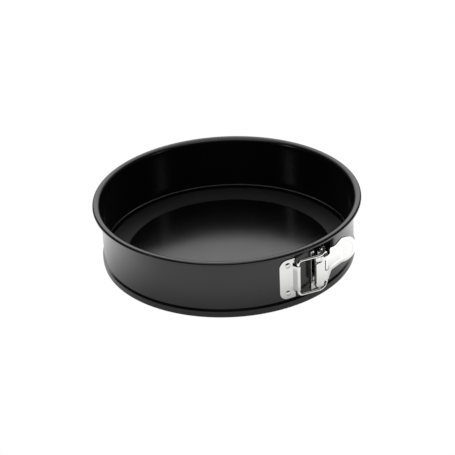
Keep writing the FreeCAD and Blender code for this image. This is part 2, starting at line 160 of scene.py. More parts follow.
def discard(piece):
    """Remove an object and its mesh."""
    mesh = piece.data
    bpy.data.objects.remove(piece)
    if mesh.users == 0:
        bpy.data.meshes.remove(mesh)


def spun(profile, axis):
    """Solid turned from a line of points round an axis through the origin."""
    bm = bmesh.new()
    verts = [bm.verts.new(point) for point in profile]
    edges = [bm.edges.new(pair) for pair in zip(verts, verts[1:])]
    bmesh.ops.spin(bm, geom=verts + edges, cent=(0, 0, 0), axis=axis, angle=2 * pi,
                   steps=SPIN_STEPS)
    bmesh.ops.remove_doubles(bm, verts=bm.verts[:], dist=SPIN_MERGE)
    bmesh.ops.recalc_face_normals(bm, faces=bm.faces[:])
    return bm


def blank(outline, x_step, z_step):
    """Flat blank in the XZ plane, facing -Y, cut to an outline and creased at even steps."""
    bm = bmesh.new()
    bm.faces.new([bm.verts.new((point.x, 0, point.y)) for point in outline])
    for axis, step, normal in ((0, x_step, Vector((1, 0, 0))), (1, z_step, Vector((0, 0, 1)))):
        places = [point[axis] for point in outline]
        for place in spread(min(places), max(places), step)[1:-1]:
            bmesh.ops.bisect_plane(bm, geom=bm.verts[:] + bm.edges[:] + bm.faces[:], dist=MERGE,
                                   plane_co=normal * place, plane_no=normal)
    bmesh.ops.remove_doubles(bm, verts=bm.verts[:], dist=MERGE)
    for face in bm.faces:
        face.normal_update()
        if face.normal.y > 0:
            face.normal_flip()
    return bm


def strip(line, heights, keep=None):
    """Upright sheet that follows a line in plan, with rows at given heights; keep picks faces."""
    bm = bmesh.new()
    columns = [[bm.verts.new((point.x, point.y, z)) for z in heights] for point in line]
    for i in range(len(columns) - 1):
        for k in range(len(heights) - 1):
            middle = ((line[i] + line[i + 1]) / 2, (heights[k] + heights[k + 1]) / 2)
            if keep is None or keep(*middle):
                near, far = columns[i], columns[i + 1]
                bm.faces.new([near[k], far[k], far[k + 1], near[k + 1]])
    bmesh.ops.delete(bm, geom=[v for v in bm.verts if not v.link_faces], context="VERTS")
    return bm


def thicken(piece, thickness, edge=0):
    """Give a sheet its thickness about its middle and round its edges."""
    solid = piece.modifiers.new("Sheet", "SOLIDIFY")
    solid.thickness = thickness
    solid.offset = 0
    solid.use_even_offset = True
    solid.use_quality_normals = True
    if edge:
        ease(piece, edge)


def ease(piece, edge):
    """Round a sheet's sharp edges."""
    bevel = piece.modifiers.new("Edges", "BEVEL")
    bevel.width = edge
    bevel.segments = 3
    bevel.limit_method = "ANGLE"
    bevel.angle_limit = EASE_ANGLE
    bevel.use_clamp_overlap = True
    bevel.harden_normals = False


def smooth(mesh):
    """Shade a mesh smooth, but for its sharp edges."""
    mesh.shade_smooth()
    mesh.set_sharp_from_angle(angle=SMOOTH_ANGLE)


def settled(source, name, material=None):
    """Plain mesh of an object with its modifiers worked out. The source object goes."""
    bpy.context.view_layer.update()
    graph = bpy.context.evaluated_depsgraph_get()
    mesh = bpy.data.meshes.new_from_object(source.evaluated_get(graph), depsgraph=graph)
    discard(source)
    mesh.name = name
    if material:
        mesh.materials.clear()
        mesh.materials.append(material)
    smooth(mesh)
    return linked(name, mesh)


def pressed(name, bm, thickness, edge, material):
    """Finished piece from a thin sheet."""
    piece = from_bmesh(name, bm)
    thicken(piece, thickness, edge)
    return settled(piece, name, material)


def joined(pieces, name):
    """One object from several plain-mesh pieces."""
    bm = bmesh.new()
    material = pieces[0].data.materials[0]
    for piece in pieces:
        bm.from_mesh(piece.data)
        discard(piece)
    whole = from_bmesh(name, bm)
    whole.data.materials.append(material)
    smooth(whole.data)
    return whole


# ---- node trees ----

class Nodes:
    """Node tree that is built one node at a time."""

    def __init__(self, tree):
        self.tree = tree

    def node(self, kind, values=None, **settings):
        """Add a node; values holds a value or a socket for each input."""
        node = self.tree.nodes.new(kind)
        for key, value in settings.items():
            setattr(node, key, value)
        for key, value in (values or {}).items():
            self.feed(node.inputs[key], value)
        return node

    def out(self, kind, values=None, **settings):
        """First output of a new node."""
        return self.node(kind, values, **settings).outputs[0]

    def feed(self, socket, value):
        if isinstance(value, bpy.types.NodeSocket):
            self.tree.links.new(value, socket)
        else:
            socket.default_value = value

    def math(self, operation, *values):
        return self.out("ShaderNodeMath", dict(enumerate(values)), operation=operation)

    def product(self, first, *others):
        for other in others:
            first = self.math("MULTIPLY", first, other)
        return first

    def split(self, vector):
        """The X, Y and Z parts of a vector."""
        return self.node("ShaderNodeSeparateXYZ", {0: vector}).outputs

    def vector(self, **parts):
        """Vector from any of its X, Y and Z parts."""
        return self.out("ShaderNodeCombineXYZ", parts)


class Tree(Nodes):
    """Geometry node tree with named inputs."""

    def __init__(self, name, **inputs):
        super().__init__(bpy.data.node_groups.new(name, "GeometryNodeTree"))
        face = self.tree.interface
        for key, kind in {"geometry": "Geometry", **inputs}.items():
            label = key.replace("_", " ").title()
            face.new_socket(label, in_out="INPUT", socket_type="NodeSocket" + kind)
        face.new_socket("Geometry", in_out="OUTPUT", socket_type="NodeSocketGeometry")
        self.inputs = self.tree.nodes.new("NodeGroupInput").outputs
        self.output = self.tree.nodes.new("NodeGroupOutput").inputs[0]

    def whole(self, operation, *values):
        """Arithmetic on whole numbers."""
        return self.out("FunctionNodeIntegerMath", dict(enumerate(values)), operation=operation)

    def finish(self, geometry):
        """Close the tree with its instances realized and its material set."""
        real = self.out("GeometryNodeRealizeInstances", {0: geometry})
        done = self.out("GeometryNodeSetMaterial", {0: real, "Material": self.inputs["Material"]})
        self.feed(self.output, done)
        return self.tree

    @staticmethod
    def apply(piece, tree, **values):
        """Put a tree on an object with its inputs set."""
        modifier = piece.modifiers.new(tree.name, "NODES")
        modifier.node_group = tree
        for item in tree.interface.items_tree:
            key = item.name.replace(" ", "_").lower()
            if item.in_out == "INPUT" and key in values:
                modifier[item.identifier] = values[key]


def turned_sheet_tree():
    """Tree that turns (radius, 0, height) points round the axis and leaves a slit open in front."""
    tree = Tree("Turned sheet", start="Float", edge="Float", end="Float", columns="Int",
                slit_width="Float", slit_bottom="Float", slit_top="Float", material="Material")
    given = tree.inputs
    section = given["Geometry"]
    rows = tree.node("GeometryNodeAttributeDomainSize", {0: section}).outputs["Point Count"]
    grid = tree.node("GeometryNodeMeshGrid", {"Vertices X": given["Columns"], "Vertices Y": rows})
    index = tree.out("GeometryNodeInputIndex")
    row, column = tree.whole("MODULO", index, rows), tree.whole("DIVIDE", index, rows)
    place = tree.out("GeometryNodeInputPosition")
    sample = {0: section, "Value": place, "Index": row}
    point = tree.split(tree.out("GeometryNodeSampleIndex", sample, data_type="FLOAT_VECTOR"))
    even = tree.out("ShaderNodeMapRange", {
        "Value": column, "From Min": 1.0, "From Max": tree.math("SUBTRACT", given["Columns"], 1.0),
        "To Min": given["Edge"], "To Max": given["End"]})
    first = tree.math("LESS_THAN", column, 0.5)
    angle = tree.out("GeometryNodeSwitch", {
        "Switch": first, "False": even, "True": given["Start"]}, input_type="FLOAT")
    spot = tree.vector(X=tree.product(point["X"], tree.math("SINE", angle)),
                       Y=tree.product(point["X"], tree.product(tree.math("COSINE", angle), -1.0)),
                       Z=point["Z"])
    sheet = tree.out("GeometryNodeSetPosition", {0: grid.outputs["Mesh"], "Position": spot})
    here = tree.split(place)
    half_slit = tree.product(given["Slit Width"], 0.5)
    in_slit = tree.product(
        tree.math("LESS_THAN", tree.math("ABSOLUTE", here["X"]), half_slit),
        tree.math("LESS_THAN", here["Y"], 0.0),
        tree.math("GREATER_THAN", here["Z"], given["Slit Bottom"]),
        tree.math("LESS_THAN", here["Z"], given["Slit Top"]))
    cut = tree.node("GeometryNodeDeleteGeometry", {0: sheet, "Selection": in_slit}, domain="FACE")
    merged = tree.node("GeometryNodeMergeByDistance", {0: cut.outputs[0], "Distance": MERGE})
    return tree.finish(merged.outputs[0])


def rivets_tree():
    """Tree that stands copies of a rivet at even steps up the wall, at a reach and an angle."""
    tree = Tree("Rivets up the wall", count="Int", pitch="Float", middle="Float", reach="Float",
                angle="Float", material="Material")
    given = tree.inputs
    gaps = tree.math("SUBTRACT", given["Count"], 1.0)
    drop = tree.product(given["Pitch"], tree.product(gaps, 0.5))
    start = tree.vector(Y=tree.product(given["Reach"], -1.0),
                        Z=tree.math("SUBTRACT", given["Middle"], drop))
    line = tree.out("GeometryNodeMeshLine", {
        "Count": given["Count"], "Start Location": start,
        "Offset": tree.vector(Z=given["Pitch"])})
    heads = tree.out("GeometryNodeInstanceOnPoints", {
        "Points": line, "Instance": given["Geometry"]})
    real = tree.out("GeometryNodeRealizeInstances", {0: heads})
    placed = tree.node("GeometryNodeTransform", {
        "Geometry": real, "Rotation": tree.vector(Z=given["Angle"])})
    return tree.finish(placed.outputs[0])


def round_wire_tree():
    """Tree that gives a closed line the thickness of round wire."""
    tree = Tree("Round wire", radius="Float", sides="Int", material="Material")
    line = tree.out("GeometryNodeMeshToCurve", {0: tree.inputs["Geometry"]})
    section = tree.out("GeometryNodeCurvePrimitiveCircle", {
        "Resolution": tree.inputs["Sides"], "Radius": tree.inputs["Radius"]})
    wire = tree.node("GeometryNodeCurveToMesh", {"Curve": line, "Profile Curve": section})
    return tree.finish(wire.outputs[0])


# ---- sizes and colours ----

def length(name, description, millimetres):
    return bpy.props.FloatProperty(name=name, description=description, default=millimetres * MM,
                                   min=0.0, precision=4, subtype="DISTANCE", unit="LENGTH")


def angle(name, description, degrees):
    return bpy.props.FloatProperty(name=name, description=description, default=radians(degrees),
                                   subtype="ANGLE", unit="ROTATION")


def share(name, description, default):
    return bpy.props.FloatProperty(name=name, description=description, default=default, min=0.0,
                                   max=1.0, subtype="FACTOR")


def colour(name, description, default):
    return bpy.props.FloatVectorProperty(name=name, description=description, default=default,
                                         size=3, min=0.0, max=1.0, subtype="COLOR")


class PanSizes(PropertyGroup):
    """Sizes of the band and the base plate."""
    inner_radius: length("Inner radius", "Inside radius of the band's wall", 130)
    height: length("Height", "Height of the band", 65)
    sheet: length("Band sheet", "Thickness of the band", 0.5)
    flare_radius: length("Flare radius", "Bend from the wall out to the rim", 5.25)
    flange: length("Flange", "Level part of the rim before its rolled edge", 0.8)
    roll_radius: length("Roll radius", "Outside radius of the rolled edge", 2.2)
    bead_depth: length("Bead depth", "How far the base bead stands out", 1.6)
    bead_top: length("Bead top", "Height of the bead's upper edge", 6.3)
    shoulder_top: length("Shoulder top", "Height where the bead's shoulder meets the wall", 8.9)
    seam_gap: length("Seam gap", "Width of the open seam behind the clasp", 2.0)
    rim_gap: length("Rim gap", "Width of the seam at the rim and the bead", 0.3)
    slit_bottom: length("Slit bottom", "Height where the seam opens", 12.7)
    slit_top: length("Slit top", "Height where the seam closes again", 55.8)
    spring_half: length("Spring half width", "Half width of the back that bends in opening", 20)
    base_sheet: length("Base sheet", "Thickness of the base plate", 0.6)
    base_well: length("Base well", "Radius of the base's sunken middle", 108)
    base_slope: length("Base slope", "Width of the slope round the middle", 19.5)
    base_rise: length("Base rise", "How far the base's rim stands above its middle", 4.0)
    base_hem: length("Base hem", "Depth of the base's turned-down edge", 2.8)


class ClaspSizes(PropertyGroup):
    """Sizes of the lever clasp."""
    middle: length("Middle", "Height of the clasp's middle", 32)
    wire_radius: length("Wire radius", "Half the thickness of the bail's wire", 1.45)
    bail_height: length("Bail height", "Height of the bail between its wires", 38.4)
    lever_sheet: length("Lever sheet", "Thickness of the lever", 1.2)
    bracket_sheet: length("Bracket sheet", "Thickness of the bracket", 0.8)
    strike_sheet: length("Strike sheet", "Thickness of the strike plate", 0.8)
    pin_radius: length("Pin radius", "Half the thickness of the pivot pin", 1.2)
    strike_height: length("Strike height", "Height of the strike plate", 43.6)
    bracket_height: length("Bracket height", "Height of the bracket", 43)
    rivet_head: length("Rivet head", "Radius of a rivet's head", 3.0)
    rivet_dome: length("Rivet dome", "Height of a rivet's head", 0.9)
    strike_rivets: angle("Strike rivets", "Angle of the strike plate's rivets from the seam", -11.4)
    bracket_rivets: angle("Bracket rivets", "Angle of the bracket's rivets from the seam", 5.1)
    emboss: length("Emboss", "Depth of the panel pressed into the lever", 0.35)


class Finishes(PropertyGroup):
    """Colours and gloss of the finishes."""
    coat_colour: colour("Coat", "Non-stick coat", (0.0022, 0.0024, 0.0024))
    coat_roughness: share("Coat roughness", "Roughness of the non-stick coat", 0.2)
    plate_colour: colour("Plating", "Plated clasp parts", (0.72, 0.72, 0.71))
    plate_roughness: share("Plating roughness", "Roughness of the plated clasp parts", 0.13)
    wire_colour: colour("Wire", "Plated wire and pin", (0.84, 0.84, 0.83))
    wire_roughness: share("Wire roughness", "Roughness of the plated wire and pin", 0.1)
    backdrop: share("Backdrop", "Brightness of the floor and the backdrop", 1.0)
    lamp_power: bpy.props.FloatProperty(name="Lamp power", description="Watts the lamps share out",
                                        default=7.0, min=0.0, unit="POWER")


def settings(context):
    """The sidebar's three groups: pan, clasp and finishes."""
    scene = context.scene
    return scene.pan_sizes, scene.clasp_sizes, scene.pan_finishes


# ---- finishes ----

COAT_IOR = 1.55
DULL_RING = (0.1065, 0.1085), (0.1275, 0.1285)  # radii where the base's duller ring comes and goes
RING_DULLNESS = 0.24
NOISE_SPAN = (0.3, 0.7)  # where most of a noise's values lie
ALL = (0.0, 1.0)
PLATE_GRAIN, WIRE_GRAIN = (0.12, 0.12, 1), (1, 1, 0.15)


class Shading(Nodes):
    """Shader node tree of a material or of the world."""

    def place(self, space="Object"):
        """Where a point lies in the object's space, or Generated for a direction in the world."""
        return self.node("ShaderNodeTexCoord").outputs[space]

    def reach(self, vector):
        """Length of a vector."""
        return self.node("ShaderNodeVectorMath", {0: vector}, operation="LENGTH").outputs["Value"]

    def along(self, vector, direction):
        """How far a vector goes in a direction."""
        return self.node("ShaderNodeVectorMath", {0: vector, 1: direction},
                         operation="DOT_PRODUCT").outputs["Value"]

    def ramp(self, value, span, levels, kind="LINEAR"):
        """Level that goes from the first to the second of two levels as a value crosses a span."""
        names = ("Value", "From Min", "From Max", "To Min", "To Max")
        values = dict(zip(names, (value, *span, *levels)))
        return self.out("ShaderNodeMapRange", values, interpolation_type=kind)

    def eased(self, *ramps):
        """Product of smooth ramps, each given as (value, (span, levels))."""
        return self.product(*[self.ramp(value, *ramp, "SMOOTHSTEP") for value, ramp in ramps])

    def noise(self, scale, detail, stretch=(1, 1, 1)):
        """Noise in object space, stretched along the axes."""
        mapped = self.out("ShaderNodeMapping", {"Vector": self.place(), "Scale": stretch})
        return self.node("ShaderNodeTexNoise", {
            "Vector": mapped, "Scale": scale, "Detail": detail, "Roughness": 0.55}).outputs["Fac"]

    def tinted(self, colour, spots, low, high):
        """Colour that a noise makes darker and lighter between two factors."""
        return self.node("ShaderNodeMix", {
            0: 1.0, 6: (*colour, 1), 7: self.ramp(spots, ALL, (low, high))},
            data_type="RGBA", blend_type="MULTIPLY").outputs[2]

    def bumps(self, height, depth, strength):
        """Surface direction with fine bumps."""
        return self.out("ShaderNodeBump", {
            "Strength": strength, "Distance": depth, "Height": height})


def shader_material(name, colour, metallic, roughness):
    """Material with its shading tree and the inputs of its shader."""
    material = bpy.data.materials.new(name)
    material.use_nodes = True
    surface = material.node_tree.nodes["Principled BSDF"].inputs
    surface["Base Color"].default_value = (*colour, 1)
    surface["Metallic"].default_value = metallic
    surface["Roughness"].default_value = roughness
    return material, Shading(material.node_tree), surface


def non_stick_coat(finishes):
    """Satin black coat: orange peel, faint clouds and a duller ring round the base's middle."""
    colour, rough = finishes.coat_colour, finishes.coat_roughness
    material, tree, surface = shader_material("non_stick_coat", colour, 0.0, rough)
    surface["IOR"].default_value = COAT_IOR
    flat = tree.node("ShaderNodeVectorMath", {0: tree.place(), 1: (1, 1, 0)}, operation="MULTIPLY")
    radius = tree.reach(flat.outputs[0])
    ring = tree.math("SUBTRACT", *[tree.ramp(radius, edge, ALL) for edge in DULL_RING])
    clouds = tree.ramp(tree.noise(35, 3), NOISE_SPAN, (rough - 0.02, rough + 0.02))
    tree.feed(surface["Roughness"], tree.math("MULTIPLY_ADD", ring, RING_DULLNESS, clouds))
    tree.feed(surface["Base Color"], tree.tinted(colour, tree.noise(900, 2), 0.8, 1.2))
    tree.feed(surface["Normal"], tree.bumps(tree.noise(1600, 2), 0.02 * MM, 0.35))
    return material


def plated_steel(name, colour, rough, grain):
    """Bright nickel plating: grain stretches the fine polishing lines along X, Y and Z."""
    material, tree, surface = shader_material(name, colour, 1.0, rough)
    smears = tree.ramp(tree.noise(90, 3), NOISE_SPAN, (rough - 0.03, rough + 0.04))
    tree.feed(surface["Roughness"], smears)
    tree.feed(surface["Base Color"], tree.tinted(colour, tree.noise(60, 2), 0.94, 1.04))
    tree.feed(surface["Normal"], tree.bumps(tree.noise(700, 2, grain), 0.01 * MM, 0.25))
    return material


def finish(name, finishes):
    """A finish by name, made once."""
    found = bpy.data.materials.get(name)
    if found:
        return found
    if name == "non_stick_coat":
        return non_stick_coat(finishes)
    if name == "bright_plate":
        return plated_steel(name, finishes.plate_colour, finishes.plate_roughness, PLATE_GRAIN)
    return plated_steel(name, finishes.wire_colour, finishes.wire_roughness, WIRE_GRAIN)


# ---- band and base ----

RIM_REACH = 8.6 * MM  # from the wall's inside to just past the rolled edge
BEAD_LIP = 0.4 * MM  # how far the bead's foot turns in
HALF_COLUMNS, BACK_COLUMNS, TAIL_COLUMNS, BASE_COLUMNS = 342, 38, 16, 362
TAIL_LEFT, TAIL_RIGHT = -5 * MM, 7 * MM
BASE_CLEARANCE = 0.3 * MM  # between the base's hem and the bead
BASE_BEND, HEM_BEND = 2 * MM, 0.6 * MM


def band_section(pan):
    """Middle line of the band as (radius, 0, height): bead, wall, flare and rolled edge."""
    wall = pan.inner_radius + pan.sheet / 2
    bead = wall + pan.bead_depth
    foot = bead - BEAD_LIP
    bead_bend, shoulder_bend = 0.9 * MM, 1.2 * MM
    roll = pan.roll_radius - pan.sheet / 2
    roll_x = wall + pan.flare_radius + pan.flange
    top = pan.height - pan.sheet / 2
    line = bent([(foot, 0, 0), (foot, 0.53 * MM, bead_bend), (bead, 1.6 * MM, bead_bend),
                 (bead, pan.bead_top, bead_bend), (wall, pan.shoulder_top, shoulder_bend),
                 (wall, pan.slit_bottom, 0), (wall, pan.slit_top, 0),
                 (wall, top, pan.flare_radius), (roll_x + roll, top, roll),
                 (roll_x + roll, top - 2 * roll, roll), (roll_x - roll, top - 2 * roll, roll),
                 (roll_x - roll, top - roll / 2, 0)])
    return [(point.x, 0, point.y) for point in line]


def turn_piece(name, section, tree, angles, columns, material, thickness, slit=(0, 0, 0)):
    """Sheet turned from its first angle, with even columns from the second to the third."""
    piece = chain(name, section)
    start, edge, end = angles
    width, bottom, top = slit
    Tree.apply(piece, tree, start=start, edge=edge, end=end, columns=columns, slit_width=width,
               slit_bottom=bottom, slit_top=top, material=material)
    thicken(piece, thickness)
    return settled(piece, name)


class PAN_OT_band(Operator):
    """Turn the band's two halves, the springy back between them and the tail behind the seam"""
    bl_idname = "springform.band"
    bl_label = "Band"

    def execute(self, context):
        pan, _, finishes = settings(context)
        coat = finish("non_stick_coat", finishes)
        tree = turned_sheet_tree()
        section = band_section(pan)
        slit = (pan.seam_gap, pan.slit_bottom, pan.slit_top)
        rim_edge = asin(pan.rim_gap / 2 / pan.inner_radius)
        slit_edge = asin(pan.seam_gap / 2 / pan.inner_radius)
        spring = asin(pan.spring_half / (pan.inner_radius + RIM_REACH))
        for sign, body in ((1, "ring_right"), (-1, "ring_left")):
            angles = (sign * rim_edge, sign * slit_edge, sign * (pi - spring))
            piece = turn_piece("wall_" + body.split("_")[1], section[::sign], tree, angles,
                               HALF_COLUMNS, coat, pan.sheet, slit)
            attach(piece, body)
            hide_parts("band_" + body.split("_")[1])
        back_angles = (pi - spring, pi - spring, pi + spring)
        back = turn_piece("spring_back", section, tree, back_angles, BACK_COLUMNS, coat, pan.sheet)
        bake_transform(back)
        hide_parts("band_right", "band_left")
        inside = pan.inner_radius - 0.1 * MM - pan.sheet / 2
        low, high = pan.shoulder_top + 1.0 * MM, pan.slit_top
        left, right = asin(TAIL_LEFT / inside), asin(TAIL_RIGHT / inside)
        tail = turn_piece("seam_tail", [(inside, 0, z) for z in (low, pan.slit_bottom, high)], tree,
                          (left, left, right), TAIL_COLUMNS, coat, pan.sheet)
        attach(tail, "ring_left")
        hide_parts("band_left")
        return {"FINISHED"}


class PAN_OT_base(Operator):
    """Turn the base plate with its sunken middle, raised rim and hem"""
    bl_idname = "springform.base"
    bl_label = "Base plate"

    def execute(self, context):
        pan, _, finishes = settings(context)
        level = pan.base_sheet / 2
        raised = level + pan.base_rise
        rim = pan.inner_radius + pan.bead_depth - BEAD_LIP - BASE_CLEARANCE - level
        line = bent([(0, level, 0), (pan.base_well, level, BASE_BEND),
                     (pan.base_well + pan.base_slope, raised, BASE_BEND), (rim, raised, HEM_BEND),
                     (rim, raised - pan.base_hem, 0)])
        section = [(point.x, 0, point.y) for point in divided(line, 12 * MM)][::-1]
        piece = turn_piece("base_disc", section, turned_sheet_tree(), (0.0, 0.0, 2 * pi),
                           BASE_COLUMNS, finish("non_stick_coat", finishes), pan.base_sheet)
        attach(piece, "base")
        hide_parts("base_plate")
        return {"FINISHED"}


# ---- clasp ----

PIVOT = Vector((4.9 * MM, -136.0 * MM))  # in plan: the lever's pin
HOOK = Vector((17.2 * MM, -135.4 * MM))  # the bail's far leg, behind the lever
STRIKE = Vector((-16.8 * MM, -133.5 * MM))  # the bail's near leg, in the tongue
BOW = Vector((7.0 * MM, -139.6 * MM))  # where the bail's runs bend

STRIKE_LEFT, STRIKE_RIGHT, STRIKE_HORN = -15.2, -8.6, -7.8  # degrees from the seam
TONGUE_HEIGHT = 27.5 * MM
BRACKET_LEFT, BRACKET_RIGHT = 1.3 * MM, 17.2 * MM
KNUCKLE_HEIGHT = 21.6 * MM
CUT_Y = -132.2 * MM  # the bracket is cut away in front of this, above and below its knuckle
STRIKE_PITCH, BRACKET_PITCH = 31.2 * MM, 26 * MM  # between the two rivets
PLATE_EDGE, LEVER_EDGE = 0.2 * MM, 0.25 * MM  # width of the eased edges
WIRE_SIDES = 28
PLATE_OVERHANG = 3.7 * MM  # from the pin to the lever's left edge
EAR_REACH = 3.4 * MM  # from the pin to the right side of the lever's ears
EAR_HEIGHT = 5.4 * MM
UPPER_EAR, LOWER_EAR = 11.3 * MM, -16.7 * MM  # the ears' lower edges from the middle
RIDGE_INSET, RIDGE_WIDTH = 3.0 * MM, 0.9 * MM
RIDGE_START, RIDGE_RISE = 21 * MM, 4 * MM


def plate_radius(pan, sheet):
    """Radius of the middle of a plate that lies on the wall."""
    return pan.inner_radius + pan.sheet + PLAY + sheet / 2


def wall_depth(radius, x):
    """Y of the wall's front at an x position."""
    return -sqrt(radius ** 2 - x ** 2)


def wall_line(radius, left, right):
    """Line in plan that follows the wall between two x positions."""
    return [Vector((x, wall_depth(radius, x))) for x in spread(left, right, 1.0 * MM)]


def curl(centre, radius, tail):
    """Points that wrap a path anticlockwise round a centre, from below to just past the top."""
    right, top = centre.x + radius, centre.y + radius
    return [(right, centre.y - radius, radius), (right, top, radius), (centre.x - tail, top, 0)]


def strike_face(clasp, radius, plated):
    """The strike plate without its tongue, and the x position of its right edge."""
    sheet, middle = clasp.strike_sheet, clasp.middle
    face = radius + sheet / 2
    left, right, horn = [face * sin(radians(a)) for a in (STRIKE_LEFT, STRIKE_RIGHT, STRIKE_HORN)]
    half = clasp.strike_height / 2
    inner = half - 7 * MM
    corners = [(left, half, 8 * MM), (horn, half, 0.4 * MM), (horn, inner, 0.4 * MM),
               (right, inner, 0.6 * MM)]
    lower = [(x, middle - height, bend) for x, height, bend in corners]
    upper = [(x, middle + height, bend) for x, height, bend in corners[::-1]]
    bm = blank(rounded(lower + upper), 1.0 * MM, 4 * MM)
    for vertex in bm.verts:
        vertex.co.y = wall_depth(radius, vertex.co.x)
    return pressed("plate", bm, sheet, PLATE_EDGE, plated), right


def strike_tongue(clasp, radius, right, plated):
    """The sloping tongue from the plate's right edge, rolled round the bail's near leg."""
    sheet, middle = clasp.strike_sheet, clasp.middle
    slope = radians(70)
    wrap = clasp.wire_radius + PLAY + sheet / 2
    wall_y = wall_depth(radius, right)
    outer_y = STRIKE.y - wrap
    touch = STRIKE + Vector((-sin(slope), -cos(slope))) * wrap
    foot_x = touch.x - (wall_y - touch.y) / tan(slope)
    knee_x = touch.x + (touch.y - outer_y) / tan(slope)
    root_x = foot_x - 3 * MM
    path = [(root_x, wall_depth(radius, root_x) - 0.02 * MM, 0), (foot_x, wall_y, sheet),
            (knee_x, outer_y, wrap)] + curl(STRIKE, wrap, sheet)
    half = TONGUE_HEIGHT / 2
    bm = strip(bent(path, 12), spread(middle - half, middle + half, 5 * MM))
    return pressed("tongue", bm, sheet, PLATE_EDGE, plated)


class PAN_OT_strike(Operator):
    """Press the strike plate and roll its tongue round the bail's near leg"""
    bl_idname = "springform.strike_plate"
    bl_label = "Strike plate"

    def execute(self, context):
        pan, clasp, finishes = settings(context)
        plated = finish("bright_plate", finishes)
        radius = plate_radius(pan, clasp.strike_sheet)
        plate, right = strike_face(clasp, radius, plated)
        piece = joined([plate, strike_tongue(clasp, radius, right, plated)], "strike")
        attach(piece, "ring_left")
        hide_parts("strike_plate")
        return {"FINISHED"}


def round_pin(clasp, sheet):
    """Reach of a sheet's middle round the pin, and its left, right, front and back."""
    wrap = clasp.pin_radius + PLAY + sheet / 2
    return wrap, PIVOT.x - wrap, PIVOT.x + wrap, PIVOT.y - wrap, PIVOT.y + wrap


def bracket_line(clasp, radius):
    """Middle line in plan: the leaf on the wall, the hairpin, and the knuckle round the pin."""
    sheet = clasp.bracket_sheet
    leaf_end = asin(BRACKET_RIGHT / radius)
    along = Vector((cos(leaf_end), sin(leaf_end)))
    outward = Vector((sin(leaf_end), -cos(leaf_end)))
    start = outward * radius
    turn, far_bend = 1.25 * MM, 5 * MM
    corner = start + along * turn
    far_corner = corner + outward * (2 * turn)
    leaf = far_corner - along * 3.2 * MM
    wrap, left, right, front, back = round_pin(clasp, sheet)
    path = [(*start, 0), (*corner, turn), (*far_corner, turn), (*leaf, far_bend),
            (right + sheet, back, far_bend), (left, back, wrap), (left, front, wrap),
            (right, front, wrap), (right, PIVOT.y + sheet / 2, 0)]
    line = wall_line(radius, BRACKET_LEFT, BRACKET_RIGHT)[:-1] + bent(path, 12)
    return divided(thinned(line), 1.5 * MM)


class PAN_OT_bracket(Operator):
    """Fold the bracket: a leaf on the wall, a hairpin and the knuckle round the pin"""
    bl_idname = "springform.bracket"
    bl_label = "Bracket"

    def execute(self, context):
        pan, clasp, finishes = settings(context)
        sheet, middle = clasp.bracket_sheet, clasp.middle
        half, knuckle = clasp.bracket_height / 2, KNUCKLE_HEIGHT / 2
        heights = [middle - half, middle - knuckle, middle, middle + knuckle, middle + half]

        def keep(spot, height):
            by_pin = spot.x < PIVOT.x + EAR_REACH and spot.y < CUT_Y
            return abs(height - middle) < knuckle or not by_pin

        line = bracket_line(clasp, plate_radius(pan, sheet))
        piece = pressed("hairpin", strip(line, heights, keep), sheet, PLATE_EDGE,
                        finish("bright_plate", finishes))
        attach(piece, "ring_right")
        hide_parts("bracket")
        return {"FINISHED"}


def rivet_blank(clasp, plate_sheet):
    """Rivet along -Y with its plate's face at the origin: domed head, shank and flat tail."""
    head, dome = clasp.rivet_head, clasp.rivet_dome
    ball = (head ** 2 + dome ** 2) / (2 * dome)
    foot, shank, tail_face, tail = 0.05 * MM, 1.3 * MM, 2.1 * MM, 2.2 * MM
    inside = -(plate_sheet + 0.6 * MM)
    rows = [(ball * sin(a), dome - ball + ball * cos(a))
            for a in spread(0, asin(head / ball) * 0.94, 0.07)]
    rows += [(head, foot + 0.16 * MM), (head, foot), (head - 0.1 * MM, foot), (shank, foot),
             (shank, inside), (tail_face, inside), (tail, inside - 0.1 * MM),
             (tail, inside - 0.4 * MM), (tail_face, inside - 0.5 * MM), (0, inside - 0.5 * MM)]
    return from_bmesh("rivet", spun([(radius, -height, 0) for radius, height in rows], (0, 1, 0)))


class PAN_OT_rivets(Operator):
    """Set the two rivets of the strike plate and the two of the bracket"""
    bl_idname = "springform.rivets"
    bl_label = "Rivets"

    def execute(self, context):
        pan, clasp, finishes = settings(context)
        plated = finish("bright_plate", finishes)
        tree = rivets_tree()
        for body, node, spot, pitch, sheet in (
                ("ring_left", "strike_rivet", clasp.strike_rivets, STRIKE_PITCH,
                 clasp.strike_sheet),
                ("ring_right", "bracket_rivet", clasp.bracket_rivets, BRACKET_PITCH,
                 clasp.bracket_sheet)):
            piece = rivet_blank(clasp, sheet)
            Tree.apply(piece, tree, count=2, pitch=pitch, middle=clasp.middle, angle=spot,
                       reach=plate_radius(pan, sheet) + sheet / 2, material=plated)
            piece = settled(piece, node + "s")
            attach(piece, body)
            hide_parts(node + "_upper", node + "_lower")
        return {"FINISHED"}


class PAN_OT_pin(Operator):
    """Turn the pivot pin with eased ends"""
    bl_idname = "springform.pivot_pin"
    bl_label = "Pivot pin"

    def execute(self, context):
        _, clasp, finishes = settings(context)
        low, high = (corner.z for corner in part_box("pivot_pin"))
        radius, edge = clasp.pin_radius, 0.25 * MM
        rows = [(0, low), (radius - edge, low), (radius, low + edge), (radius, high - edge),
                (radius - edge, high), (0, high)]
        bm = spun([(r, 0, z) for r, z in rows], (0, 0, 1))
        bmesh.ops.translate(bm, verts=bm.verts[:], vec=(*PIVOT, 0))
        piece = settled(from_bmesh("pin", bm), "pin", finish("plated_wire", finishes))
        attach(piece, "ring_right")
        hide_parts("pivot_pin")
        return {"FINISHED"}


